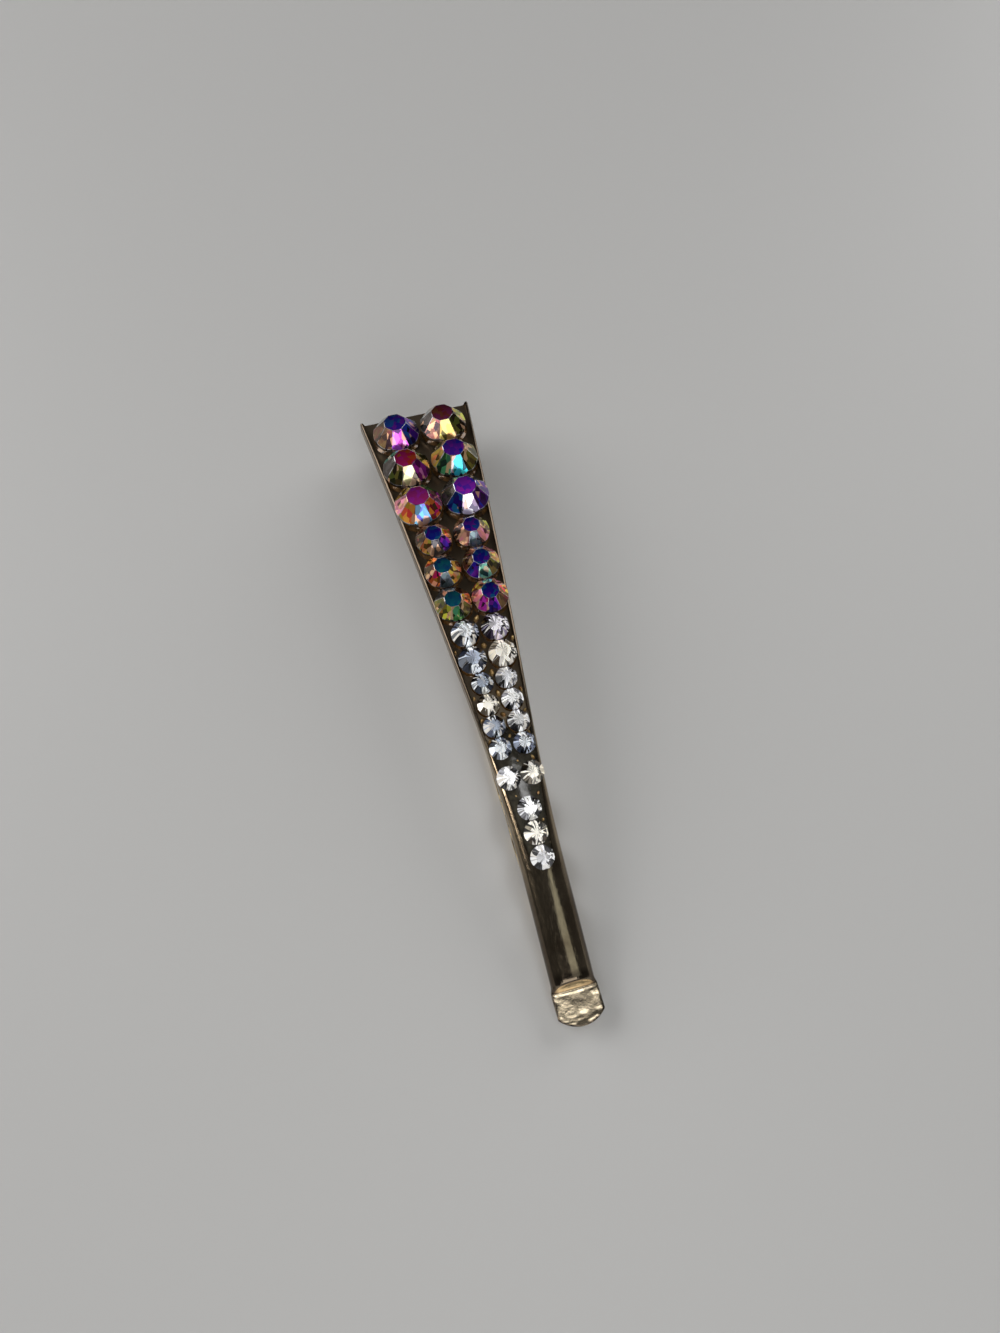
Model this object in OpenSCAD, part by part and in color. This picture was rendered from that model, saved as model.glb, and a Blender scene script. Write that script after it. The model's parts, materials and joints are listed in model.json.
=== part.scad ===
// Jewelled hair clip: a pressed, arched upper leg holds a tapering tray of cut stones,
// and a spring strip runs back under it from a tight bend at the wide end.
// Frame: the clip lies along Y with its wide end at +Y and its tip at -Y, Z is up,
// and the origin is under the middle of the clip, on the surface that it lies on.

/* [Upper leg] */
// Length of the clip from the tip to the wide end
clip_l = 66; // [65:0.5:72]
// Width across the rims at the wide end
wide_w = 12.2; // [11.8:0.1:12.8]
// Width of the half-round strip
strip_w = 4.25; // [4.1:0.05:4.6]
// Distance from the tip to where the taper's sides would meet the strip's sides
taper_at = 22.8; // [22:0.2:25]
// Radius that blends the taper into the strip, seen from above
flare_r = 170; // [100:5:180]
// Height of the pressed section, from its lower edges to its crest
section_h = 1.5; // [1.3:0.05:1.7]
// Height of the top of the arch
arch_top = 8.2; // [7.8:0.1:8.8]
// Height of the crest at the wide end
end_top = 5.3; // [4.9:0.1:5.5]
// Distance from the tip to the top of the arch, as a share of the length
arch_share = 0.595; // [0.57:0.005:0.62]

/* [Tray] */
// Thickness of the rims
rim_t = 0.3; // [0.2:0.05:0.4]
// Depth of the tray below the rims
tray_depth = 0.6; // [0.4:0.05:0.7]
// Thickness of the tray's floor
floor_t = 0.4; // [0.3:0.05:0.5]
// Distance from the tip to the middle of the tray's round end
tray_end_at = 15.4; // [15:0.1:15.8]
// Thickness of the flanks at their lower edges
flank_t = 0.4; // [0.3:0.05:0.5]

/* [Tip tab] */
// Length of the flat tab
tab_l = 3.3; // [2.8:0.1:4]
// Width of the tab
tab_w = 4.55; // [4.3:0.05:4.9]
// Thickness of the tab
tab_t = 0.6; // [0.4:0.05:0.7]
// Radius of the tab's end, seen from above
tab_end_r = 3; // [2.6:0.1:5]
// Length over which the strip is coined flat
coin_l = 0.8; // [0.5:0.1:1.2]
// Angle by which the tab is kicked up
tab_kick = 6; // [0:1:12]

/* [Spring strip] */
// Thickness of the spring strip
spring_t = 0.6; // [0.4:0.05:0.7]
// Width of the spring strip at the bend
spring_w = 4.6; // [4:0.1:5]
// Width of the spring strip at its tip
spring_tip_w = 3.4; // [3:0.1:4]
// Distance from the wide end to the middle of the bend
bend_at = 2.7; // [2.6:0.1:4]
// Length of the foot that is brazed under the tray
foot_l = 9; // [6:0.5:12]
// Number of grip waves
wave_count = 3; // [2:1:4]
// Length of one grip wave
wave_l = 5.8; // [4:0.1:6]
// Height of the grip waves
wave_h = 0.8; // [0.4:0.05:1]
// Distance from the tip to the first wave's foot
wave_at = 6.2; // [5.5:0.1:7]
// Gap between the two tips at rest
tip_gap = 0.1; // [0.05:0.05:0.3]

/* [Stones] */
// Diameter of the three rows of large stones
large_d = 5.05; // [4.7:0.05:5.15]
// Diameter of the three rows of medium stones
medium_d = 3.8; // [3.5:0.05:3.95]
// Diameter of the two rows of small stones
small_d = 2.85; // [2.7:0.05:3]
// Diameter of the four rows of tiny stones
tiny_d = 2.2; // [2.1:0.05:2.25]
// Diameter of the last pair and of the single stones
last_d = 2.35; // [2.3:0.05:2.45]
// Gap between neighbouring stones
stone_gap = 0.04; // [0.03:0.01:0.1]
// Gap between the rows of large stones
large_gap = 0.05; // [0.05:0.05:0.3]
// Gap before the last pair of stones
last_gap = 0.7; // [0.1:0.1:1.2]
// Gap between the last pair and the single stones
single_gap = 0.9; // [0.1:0.1:1.2]
// Gap between the first row of stones and the wide end
end_gap = 0.35; // [0.2:0.05:1]
// Distance by which the stones of a pair are moved outwards, where the rims leave room
pair_spread = 0.1; // [0:0.05:0.3]
// Width of the rims left bare beside the stones
rim_bare = 0.1; // [0.05:0.05:0.2]
// Gap between a stone and what it sits over
seat_gap = 0.03; // [0.02:0.01:0.06]

/* [Hidden] */
half_l = clip_l / 2;
half_wide = wide_w / 2;
half_strip = strip_w / 2;

// Overrun of the cuts, least distance between two sections, and steps along the shapes
cut = 1;
slice_t = 0.01;
loft_step = 3;
wave_step = 0.35;
arc_steps = 4;
end_steps = 4;
tab_steps = 9;
arc_fn = 720;
round_fn = 64;

// Height of the straight lip along the strip's lower edges, half the width of the strip's
// flat crown, the shoulders' greatest share of the width, and the hollow's rounding
lip_h = 0.2;
crown_half = 0.25;
shoulder_share = 0.95;
hollow_share = 0.8;
// Length over which the hollow rises from the tray's floor to the strip's crown
fade_l = 3;
// Rounding of the tab's edges, and half the length of the flat at its tip
tab_round = 0.12;
tab_flat_half = 0.3;
// Radius of the foot's corners
foot_corner_r = 0.8;
// Gap between an adhesive pad and the rim
pad_gap = 0.1;

// The arch's radius along the crest and its centre, seen from the side
arch_y = arch_share * clip_l - half_l;
arch_r = (pow(half_l - arch_y, 2) / (arch_top - end_top) + arch_top - end_top) / 2;
arch_z = arch_top - arch_r;
floor_r = arch_r - tray_depth;
roof_r = floor_r - floor_t;

// The taper's slope on each side, and the tray's outline inside the rims
taper_slope = (half_wide - half_strip) / (clip_l - taper_at);
taper_angle = atan(taper_slope);
flare_reach = flare_r * taper_slope / 2;
tray_end_y = tray_end_at - half_l;

// The bend touches the underside of the arched floor from within
foot_r = roof_r - seat_gap;
bend_y = half_l - bend_at;
bend_r = (pow(foot_r, 2) - pow(bend_y - arch_y, 2) - pow(arch_z, 2)) / (foot_r - arch_z) / 2;
bend_z = bend_r;
bend_tilt = atan((bend_y - arch_y) / (bend_z - arch_z));

// The tab's crease, and the strip tip's place under it
crease_y = tab_l - half_l;
coin_y = crease_y + coin_l;
tip_rise = 0.3;
tip_inset = 0.9;
spring_end_y = tip_inset - half_l;
tab_z = spring_t + tip_rise + tip_gap;

// The stones' proportions, as shares of their diameter or of their radius
girdle_share = 0.08;
crown_share = 0.32;
table_share = 0.45;
facet_share = 0.96;
clear_crown_share = 0.28;
clear_table_share = 0.52;
star_share = 0.97;
star_slope = 35;
pad_share = 0.7;
facets = 8;

// Height of an arc of the arch, and the half width of the outline and of the tray, at a place y
function arch_height(r, y) = arch_z + sqrt(pow(r, 2) - pow(y - arch_y, 2));
function taper_half(y) = half_strip + (y + half_l - taper_at) * taper_slope;
function outline_half(y) =
    let (into = y + half_l - taper_at + flare_reach)
    into <= 0 ? half_strip
    : into >= 2 * flare_reach ? taper_half(y)
    : half_strip + pow(into, 2) / (2 * flare_r);
function tray_half(y) = taper_half(y) - rim_t;
tray_end_r = tray_half(tray_end_y) * cos(taper_angle);
joint_y = tray_end_y - tray_end_r * sin(taper_angle);
tray_from_angle = asin(crown_half / tray_end_r);
tray_from_y = tray_end_y - tray_end_r * cos(tray_from_angle);
hollow_y = coin_y + flank_t;

// The tab's round end, from the short flat at its tip to its sides
tab_end_angle = asin(tab_flat_half / tab_end_r);
tab_side_angle = asin(tab_w / 2 / tab_end_r);
tab_round_y = tab_end_r * (cos(tab_end_angle) - cos(tab_side_angle)) - half_l;

// The shoulders of the section: rounded all over on the strip, by the rim's width on the tray
round_to = taper_at + flare_reach - half_l;
function smooth(t) = let (u = min(1, max(0, t))) u * u * (3 - 2 * u);
function on_tray(y) = smooth((y - tray_from_y) / (round_to - tray_from_y));

// The pressed section's half width, lower edge and top at a place y: it follows the arch to
// the strip's end, is coined flat over a short length, and ends in the kicked-up tab
function mix(from, to, share) = from * (1 - share) + to * share;
function coined(y) = smooth((coin_y - y) / coin_l);
function tab_half(y) = y >= tab_round_y ? tab_w / 2
    : sqrt(pow(tab_end_r, 2) - pow(tab_end_r * cos(tab_end_angle) - y - half_l, 2));
function tab_low(y) = tab_z + max(0, crease_y - y) * tan(tab_kick);
function leg_half(y) = mix(outline_half(y), tab_half(y), coined(y));
function leg_low(y) = mix(arch_height(arch_r - section_h, y), tab_low(y), coined(y));
function leg_top(y) = mix(arch_height(arch_r, y), tab_low(y) + tab_t, coined(y));

// Half the distance between the tops of the two shoulders, and the shoulders' rounding
function inner_half(y) =
    y >= joint_y ? tray_half(y)
    : y > tray_from_y ? sqrt(pow(tray_end_r, 2) - pow(tray_end_y - y, 2))
    : min(crown_half, leg_half(y) / 2);
function shoulder_w(y) = max(
    y > tray_from_y ? leg_half(y) - inner_half(y) : 0,
    min(leg_half(y) * shoulder_share,
        mix(mix(outline_half(y), rim_t, on_tray(y)), tab_round, coined(y))));
function shoulder_h(y) = mix(mix(section_h - lip_h, rim_t, on_tray(y)), tab_round, coined(y));

// The hollow between the flanks: deep under the strip, and up to the floor under the tray
function under_tray(y) = smooth((y - tray_from_y + floor_t + fade_l) / fade_l);
function hollow_top(y) = mix(arch_height(arch_r - flank_t, y), arch_height(roof_r, y), under_tray(y));
function hollow_half(y) = leg_half(y) - min(flank_t, leg_half(y) / 2);
function hollow_round_w(y) = mix(hollow_half(y), rim_t, on_tray(y));
function hollow_round_h(y) = mix(hollow_share * (hollow_top(y) - leg_low(y)), rim_t, on_tray(y));

// Points of a shoulder from its side to its top, or as far in as x = inner
function shoulder_points(w, top, round_w, round_h, inner) =
    let (reach = acos(max(0, (inner - w + round_w) / round_w)))
    [for (k = [0:arc_steps]) let (a = reach * k / arc_steps)
        [w - round_w + round_w * cos(a), top - round_h + round_h * sin(a)]];

// Right half of the section: lower edge, outer shoulder, corner of the tray's floor, hollow
function half_section(y) = concat(
    [[hollow_half(y), leg_low(y)], [leg_half(y), leg_low(y)]],
    shoulder_points(leg_half(y), leg_top(y), shoulder_w(y), shoulder_h(y), inner_half(y)),
    [[inner_half(y), arch_height(floor_r, y)]],
    shoulder_points(hollow_half(y), hollow_top(y), hollow_round_w(y), hollow_round_h(y),
                    min(crown_half, hollow_half(y) / 2)));

// Places of the sections, denser round the tab's end, in the coined length and round the
// tray's end
function places(from, to, step) =
    let (count = max(1, ceil((to - from) / step)))
    [for (k = [0:count - 1]) from + (to - from) * k / count];
function round_places(middle, r, from, to, steps) =
    [for (k = [0:steps - 1]) middle - r * cos(mix(from, to, k / steps))];
leg_places = concat(
    round_places(tab_end_r * cos(tab_end_angle) - half_l, tab_end_r, tab_end_angle, tab_side_angle,
                 tab_steps),
    places(tab_round_y, crease_y, loft_step),
    places(crease_y, coin_y, coin_l / end_steps),
    places(coin_y, hollow_y, loft_step),
    places(hollow_y, tray_from_y, loft_step),
    [tray_from_y],
    [for (y = round_places(tray_end_y, tray_end_r, tray_from_angle, 90 - taper_angle, end_steps))
        if (y > tray_from_y + slice_t) y],
    places(joint_y, half_l, loft_step),
    [half_l]);

// Order of a section's points: up the right side, over the tray's floor, down the left side
// and back through the hollow
edge_n = arc_steps + 1;
half_n = 2 * edge_n + 3;
floor_at = edge_n + 2;
hollow_at = edge_n + 3;
right_side = [for (k = [1:edge_n + 1]) k];
left_side = [for (k = [edge_n + 1:-1:1]) half_n + k];
right_hollow = [for (k = [0:edge_n - 1]) hollow_at + k];
left_hollow = [for (k = [edge_n - 1:-1:0]) half_n + hollow_at + k];
function backwards(list) = [for (k = [len(list) - 1:-1:0]) list[k]];
function moved(list, by) = [for (v = list) v + by];

// End walls, as convex faces: the tab's tip, the start of the hollow, the start of the tray,
// and the wide end, cut into a strip of quads down each flank and a bar under the floor
tip_wall = backwards(concat(left_side, [half_n, 0], right_side));
hollow_wall = concat([0], right_hollow, left_hollow, [half_n]);
tray_wall = [floor_at, edge_n + 1, half_n + edge_n + 1, half_n + floor_at];
inner_side = concat([0], right_hollow);
wide_walls = concat(
    [for (k = [0:edge_n - 1])
        [inner_side[k], right_side[k], right_side[k + 1], inner_side[k + 1]]],
    [for (k = [0:edge_n - 1])
        moved([right_side[k], inner_side[k], inner_side[k + 1], right_side[k + 1]], half_n)],
    [[inner_side[edge_n], right_side[edge_n], floor_at],
     moved([inner_side[edge_n], floor_at, right_side[edge_n]], half_n),
     [half_n + inner_side[edge_n], inner_side[edge_n], floor_at, half_n + floor_at]]);
function ring(y) = concat(
    [0], right_side, y >= tray_from_y ? [floor_at, half_n + floor_at] : [], left_side, [half_n],
    y >= hollow_y ? backwards(concat(right_hollow, left_hollow)) : []);

// The stones' rows from the wide end: each row's diameter and the gap before it. The stones
// and the gaps keep these proportions and fill the length from the tray's end to the wide end.
row_sizes = [large_d, large_d, large_d, medium_d, medium_d, medium_d,
             small_d, small_d, tiny_d, tiny_d, tiny_d, tiny_d, last_d];
row_gaps = [end_gap, large_gap, large_gap, stone_gap, stone_gap, stone_gap,
            stone_gap, stone_gap, stone_gap, stone_gap, stone_gap, stone_gap, last_gap];
rows = len(row_sizes);
ab_rows = 6;
singles = 3;
function sum(list, k = 0) = k < len(list) ? list[k] + sum(list, k + 1) : 0;
seat_r = arch_r + seat_gap;
function angle_at(y) = asin((y - arch_y) / seat_r);
function arc_angle(length) = length / seat_r * 180 / PI;
tray_angle = angle_at(half_l) - angle_at(tray_end_y);
fill = tray_angle / arc_angle(
    sum(row_sizes) + sum(row_gaps) + single_gap + last_d / 2 + (singles - 1) * (last_d + stone_gap));
row_d = fill * row_sizes;
single_d = fill * last_d;
function row_angle(i) =
    i == 0 ? angle_at(half_l) - arc_angle(fill * row_gaps[0] + row_d[0] / 2)
    : row_angle(i - 1) - arc_angle((row_d[i - 1] + row_d[i]) / 2 + fill * row_gaps[i]);
function single_angle(i) =
    angle_at(tray_end_y) + arc_angle((singles - 1 - i) * fill * (last_d + stone_gap));
function place_y(angle) = arch_y + seat_r * sin(angle);
function row_x(i) =
    let (near = (row_d[i] + fill * stone_gap) / 2,
         far = outline_half(place_y(row_angle(i))) - rim_bare - row_d[i] / 2)
    max(near, min(near + pair_spread, far));
// An adhesive pad is a share of its stone's width and moves inwards where the tray is narrow
function pad_x(d, x, angle) =
    min(x, tray_half(place_y(angle)) * cos(taper_angle) - pad_gap - pad_share * d / 2);

// The rows of each size share one node of adhesive pads
pad_names = ["glue_large", "glue_medium", "glue_small", "glue_tiny", "glue_last"];
pad_sizes = [large_d, medium_d, small_d, tiny_d, last_d];
function side_name(side) = side < 0 ? "l" : "r";
function stone_name(i, side) =
    str(i < ab_rows ? "ab_stone_" : "clear_stone_", side_name(side), i + 1);
function single_name(i) = str("clear_stone_s", i + 1);

// Height of the spring strip's underside at a place y: flat, then waves, then the lifted tip
wave_y = wave_at - half_l;
function leg_z(y) =
    y >= wave_y + wave_count * wave_l ? 0
    : y >= wave_y ? wave_h * (1 - cos(360 * (y - wave_y) / wave_l)) / 2
    : tip_rise * smooth((wave_y - y) / (wave_y - crease_y));

// A disc of the arch's circle, lying across the clip
module arch_disc(r, w)
    translate([0, arch_y, arch_z]) rotate([0, 90, 0])
        cylinder(r = r, h = w, center = true, $fn = arc_fn);

// Places what follows on the arch, square to it, at an angle from its top
module on_arch(angle, x = 0, r = 0)
    translate([x, arch_y, arch_z]) rotate([-angle, 0, 0]) translate([0, 0, r]) children();

// Extrudes a side view, drawn with y to the right and z up, across the clip
module side_view(w) rotate([90, 0, 90]) linear_extrude(w, center = true) children();

// The upper leg: sections joined along its length, with end walls where the tray and the
// hollow under the strip begin
module upper_leg() color([0.83, 0.69, 0.42]) {
    last = len(leg_places) - 1;
    per_place = 2 * half_n;
    points = [for (y = leg_places) let (half = half_section(y))
        each concat([for (p = half) [p[0], y, p[1]]], [for (p = half) [-p[0], y, p[1]]])];
    sides = [for (i = [0:last - 1]) let (loop = ring(leg_places[i]), n = len(loop))
        for (k = [0:n - 1])
            let (a = i * per_place + loop[k], b = i * per_place + loop[(k + 1) % n])
            each [[a, b, b + per_place], [a, b + per_place, a + per_place]]];
    walls = [for (i = [0:last]) each
        leg_places[i] == hollow_y ? [moved(hollow_wall, i * per_place)]
        : leg_places[i] == tray_from_y ? [moved(tray_wall, i * per_place)] : []];
    wide_end = [for (wall = wide_walls) moved(wall, last * per_place)];
    polyhedron(points, concat(sides, walls, [tip_wall], wide_end));
}

// The foot follows the floor's underside from the bend's end
module spring_foot() color([0.78, 0.66, 0.42]) intersection() {
    difference() {
        arch_disc(foot_r, spring_w);
        arch_disc(foot_r - spring_t, spring_w + cut);
    }
    on_arch(bend_tilt, 0, arch_r / 2) linear_extrude(arch_r) {
        translate([-spring_w / 2, foot_corner_r - foot_l]) square([spring_w, foot_l - foot_corner_r]);
        translate([foot_corner_r - spring_w / 2, -foot_l])
            square([spring_w - 2 * foot_corner_r, foot_corner_r]);
        for (side = [-1, 1])
            translate([side * (spring_w / 2 - foot_corner_r), foot_corner_r - foot_l])
                circle(foot_corner_r, $fn = round_fn);
    }
}

module spring_bend() color([0.78, 0.66, 0.42]) translate([0, bend_y, bend_z]) side_view(spring_w)
    intersection() {
        difference() {
            circle(bend_r, $fn = round_fn);
            circle(bend_r - spring_t, $fn = round_fn);
        }
        polygon([[0, 0], [0, -2 * bend_r], [2 * bend_r, -2 * bend_r], [2 * bend_r, 2 * bend_r],
                 [2 * bend_r * tan(bend_tilt), 2 * bend_r]]);
    }

module lower_leg() color([0.78, 0.66, 0.42]) {
    steps = ceil((bend_y - spring_end_y) / wave_step);
    ys = [for (i = [0:steps]) spring_end_y + (bend_y - spring_end_y) * i / steps];
    tip_r = spring_tip_w / 2;
    intersection() {
        side_view(2 * spring_w) polygon(concat(
            [for (y = ys) [y, leg_z(y)]],
            [for (i = [steps:-1:0]) [ys[i], leg_z(ys[i]) + spring_t]]));
        linear_extrude(arch_top) {
            translate([0, spring_end_y + tip_r]) circle(tip_r, $fn = round_fn);
            polygon([[tip_r, spring_end_y + tip_r], [spring_w / 2, bend_y],
                     [-spring_w / 2, bend_y], [-tip_r, spring_end_y + tip_r]]);
        }
    }
}

// A pyramid's stump of flat facets, measured across its flats
module facet_stump(low_r, high_r, h, turn)
    rotate([0, 0, turn]) cylinder(h = h, r1 = low_r / cos(180 / facets),
                                  r2 = high_r / cos(180 / facets), $fn = facets);

// A flat-backed stone: a round girdle cut by sloping facets that end in a flat table
module flat_back(d, crown, table) intersection() {
    cylinder(h = (girdle_share + crown) * d, d = d, $fn = round_fn);
    facet_stump((facet_share + girdle_share * (facet_share - table) / crown) * d / 2,
                table * d / 2, (girdle_share + crown) * d, 180 / facets);
}

module ab_stone(d) color([0.55, 0.35, 0.75]) flat_back(d, crown_share, table_share);

// The clear stones have a second ring of facets, the star, between the table and the main ones
module clear_stone(d) color([0.9, 0.93, 0.97]) {
    h = (girdle_share + clear_crown_share) * d;
    top_r = star_share * clear_table_share * d / 2;
    intersection() {
        flat_back(d, clear_crown_share, clear_table_share);
        facet_stump(top_r + h / tan(star_slope), top_r, h, 0);
    }
}

module row_stone(i, side) on_arch(row_angle(i), side * row_x(i), seat_r) {
    if (i < ab_rows) ab_stone(row_d[i]);
    else clear_stone(row_d[i]);
}

module single_stone(i) on_arch(single_angle(i), 0, seat_r) clear_stone(single_d);

// A pad of clear adhesive between the tray's floor and a stone's back
module glue_pad(angle, d, x = 0, side = 1)
    color([0.85, 0.65, 0.35]) on_arch(angle, side * pad_x(d, x, angle), floor_r + seat_gap)
        cylinder(h = seat_r - floor_r - seat_gap, r = pad_share * d / 2, $fn = round_fn);

module glue_pads(d) {
    for (i = [0:rows - 1], side = [-1, 1])
        if (row_sizes[i] == d) glue_pad(row_angle(i), row_d[i], row_x(i), side);
}

module glue_single() {
    for (i = [0:singles - 1]) glue_pad(single_angle(i), single_d);
}

upper_leg();
spring_foot();
spring_bend();
lower_leg();
glue_single();
for (k = [0:len(pad_names) - 1])
    glue_pads(pad_sizes[k]);
for (i = [0:rows - 1], side = [-1, 1])
    row_stone(i, side);
for (i = [0:singles - 1])
    single_stone(i);
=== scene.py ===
# %% [markdown]
# # A jewelled hair clip
# The clip is one long pressed leg of gold-plated brass, with cut stones glued into the tray at
# its wide end, and a spring strip that is bent back under it to hold the hair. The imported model
# gives every piece its shape and place. This lesson starts from it and adds the finish: rolled
# edges, facets, adhesive and all the colours.

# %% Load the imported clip
import json
import math
import random

import bpy
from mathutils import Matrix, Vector

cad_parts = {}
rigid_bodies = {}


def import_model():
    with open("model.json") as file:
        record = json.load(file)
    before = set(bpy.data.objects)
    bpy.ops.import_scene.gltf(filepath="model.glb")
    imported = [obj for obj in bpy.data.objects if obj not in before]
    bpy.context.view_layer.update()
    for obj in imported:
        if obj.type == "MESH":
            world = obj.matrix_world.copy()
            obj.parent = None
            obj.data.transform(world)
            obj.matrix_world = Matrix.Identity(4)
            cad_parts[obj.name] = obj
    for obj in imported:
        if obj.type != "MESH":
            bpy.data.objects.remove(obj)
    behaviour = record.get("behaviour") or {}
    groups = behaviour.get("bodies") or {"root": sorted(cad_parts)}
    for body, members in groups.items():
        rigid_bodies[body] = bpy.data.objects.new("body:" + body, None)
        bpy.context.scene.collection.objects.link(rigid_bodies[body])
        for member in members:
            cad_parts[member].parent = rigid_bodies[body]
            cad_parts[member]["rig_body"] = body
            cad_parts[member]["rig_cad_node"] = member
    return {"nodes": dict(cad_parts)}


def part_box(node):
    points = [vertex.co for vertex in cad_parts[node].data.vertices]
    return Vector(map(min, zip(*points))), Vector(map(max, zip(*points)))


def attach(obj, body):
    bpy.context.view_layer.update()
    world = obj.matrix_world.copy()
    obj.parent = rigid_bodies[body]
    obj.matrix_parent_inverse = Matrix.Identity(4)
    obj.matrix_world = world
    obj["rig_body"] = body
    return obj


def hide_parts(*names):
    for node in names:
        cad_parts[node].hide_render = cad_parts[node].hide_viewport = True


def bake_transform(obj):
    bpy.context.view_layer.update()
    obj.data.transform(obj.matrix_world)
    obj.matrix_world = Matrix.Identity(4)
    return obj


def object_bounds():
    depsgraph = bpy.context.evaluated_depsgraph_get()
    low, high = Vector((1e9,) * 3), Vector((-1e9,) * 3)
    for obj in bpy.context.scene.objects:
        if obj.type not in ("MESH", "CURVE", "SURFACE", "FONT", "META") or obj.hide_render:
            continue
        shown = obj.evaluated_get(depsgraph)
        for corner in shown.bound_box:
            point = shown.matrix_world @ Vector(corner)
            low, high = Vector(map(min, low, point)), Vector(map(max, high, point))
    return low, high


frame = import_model()
clip_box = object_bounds()
MM = 0.001
tip_y, wide_y = clip_box[0].y, clip_box[1].y
print("nodes", len(frame["nodes"]), "box", [list(c) for c in clip_box])

# %% [markdown]
# ## The camera
# The clip is seen through a phone's wide lens, from about ten centimetres above its tip and a
# little to its left. A camera can be aimed by eye or turned towards a target, but here the
# picture has to agree with the photograph stone for stone. So the camera's place and turn were
# worked out from the places of the stones, and are written down as plain numbers.

# %% Place the camera
camera_place = (-11.05 * MM, -29.87 * MM, 100.03 * MM)
camera_turn = (math.radians(19.684), math.radians(-2.089), math.radians(-15.387))
bpy.ops.object.camera_add(location=camera_place, rotation=camera_turn)
photo_camera = bpy.context.object
photo_camera.name = "photo_camera"
photo_camera.data.sensor_width = 36
photo_camera.data.lens = 27.03
photo_camera.data.clip_start = 0.01
photo_camera.data.clip_end = 10
bpy.context.scene.camera = photo_camera
bpy.context.scene.view_settings.view_transform = "Standard"
print("camera", [round(c, 4) for c in camera_place])

# %% [markdown]
# ## Light and floor
# Polished gold shows the room more than it shows its own colour. The room is dim overhead, so
# the upward faces look deep brown, and its walls are pale, so the flanks have light edges. Such
# a room could be a picture wrapped round the scene, but lamps and a plain ramp of greys are
# easier to understand and to change. Big soft boxes on both sides and in front give the plain
# light. A small lamp beside the camera makes the single stones and the tip tab shine, and a
# larger box draws the soft streak down the strip. Each box is placed by its compass angle and
# by its angle from straight up, and it faces the point that it is aimed at.

# %% Add the lamps
def soft_box(name, azimuth, zenith, distance, size, watts, tint=(1, 1, 1), aim=(0, 0, 0.003)):
    around, down = math.radians(azimuth), math.radians(zenith)
    away = Vector((math.sin(around) * math.sin(down), math.cos(around) * math.sin(down),
                   math.cos(down)))
    bpy.ops.object.light_add(type="AREA", location=Vector(aim) + away * distance)
    lamp = bpy.context.object
    lamp.name = name
    lamp.rotation_euler = away.to_track_quat("Z", "Y").to_euler()
    lamp.data.shape = "RECTANGLE"
    lamp.data.size, lamp.data.size_y = size
    lamp.data.energy = watts
    lamp.data.color = tint
    return lamp


warm_white, green_white = (1.0, 0.93, 0.86), (0.93, 1.0, 0.93)
strip_top, strip_foot = (0, -0.022, 0.004), (0, -0.022, 0)
lamps = [
    soft_box("left_box", -55, 62, 0.6, (0.50, 0.40), 2.3),
    soft_box("right_box", 62, 66, 0.6, (0.34, 0.45), 1.4),
    soft_box("front_box", 186, 56, 0.55, (0.44, 0.30), 1.1),
    soft_box("flank_box", -98, 60, 0.5, (0.04, 0.09), 0.10, warm_white),
    soft_box("streak_box", 150, 34, 0.34, (0.13, 0.14), 0.036, green_white, strip_top),
    soft_box("near_lamp", 106, 6.6, 0.126, (0.018, 0.046), 0.011, aim=strip_foot),
]
print("lamps", [lamp.name for lamp in lamps])

# %% Add the room
room = bpy.data.worlds.new("dim_room")
bpy.context.scene.world = room
room.use_nodes = True
sky = room.node_tree
direction = sky.nodes.new("ShaderNodeTexCoord")
height = sky.nodes.new("ShaderNodeSeparateXYZ")
shade = sky.nodes.new("ShaderNodeValToRGB")
shade.color_ramp.elements[0].color = (0.34, 0.34, 0.335, 1)
shade.color_ramp.elements[1].color = (0.04, 0.039, 0.038, 1)
wall_top = shade.color_ramp.elements.new(0.22)
wall_top.color = (0.06, 0.059, 0.058, 1)
sky.links.new(direction.outputs["Generated"], height.inputs[0])
sky.links.new(height.outputs["Z"], shade.inputs["Fac"])
sky.links.new(shade.outputs["Color"], sky.nodes["Background"].inputs["Color"])
print("room", room.name)

# %% Add the floor
bpy.ops.mesh.primitive_plane_add(size=3)
floor = bpy.context.object
floor.name = "pale_floor"
paint = bpy.data.materials.new("pale_floor")
paint.use_nodes = True
floor_paint = paint.node_tree.nodes["Principled BSDF"]
floor_paint.inputs["Base Color"].default_value = (0.60, 0.595, 0.585, 1)
floor_paint.inputs["Roughness"].default_value = 0.5
floor.data.materials.append(paint)
print("floor", list(floor.dimensions))

# %% [markdown]
# ## Small helpers
# The same few moves come back with every piece, so they are written once. An operator works on
# everything that is selected, so each step first selects one piece alone. A copy of a packed
# piece is merged before it is worked on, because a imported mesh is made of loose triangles. A
# modifier could stay live, but it is applied here, so that the next step works on real faces.

# %% Helpers for pieces
def alone(piece):
    """Selects one piece and nothing else."""
    if bpy.context.object and bpy.context.object.mode != "OBJECT":
        bpy.ops.object.mode_set(mode="OBJECT")
    bpy.ops.object.select_all(action="DESELECT")
    piece.select_set(True)
    bpy.context.view_layer.objects.active = piece


def copy_of(node, name):
    """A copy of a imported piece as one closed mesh, ready to be worked on."""
    alone(frame["nodes"][node])
    bpy.ops.object.duplicate()
    piece = bpy.context.object
    piece.name = piece.data.name = name
    piece.parent = None
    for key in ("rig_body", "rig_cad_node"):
        if key in piece:
            del piece[key]
    piece.data.materials.clear()
    bpy.ops.object.mode_set(mode="EDIT")
    bpy.ops.mesh.select_all(action="SELECT")
    bpy.ops.mesh.customdata_custom_splitnormals_clear()
    bpy.ops.mesh.remove_doubles(threshold=0.002 * MM)
    bpy.ops.mesh.normals_make_consistent(inside=False)
    bpy.ops.object.mode_set(mode="OBJECT")
    return piece


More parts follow.
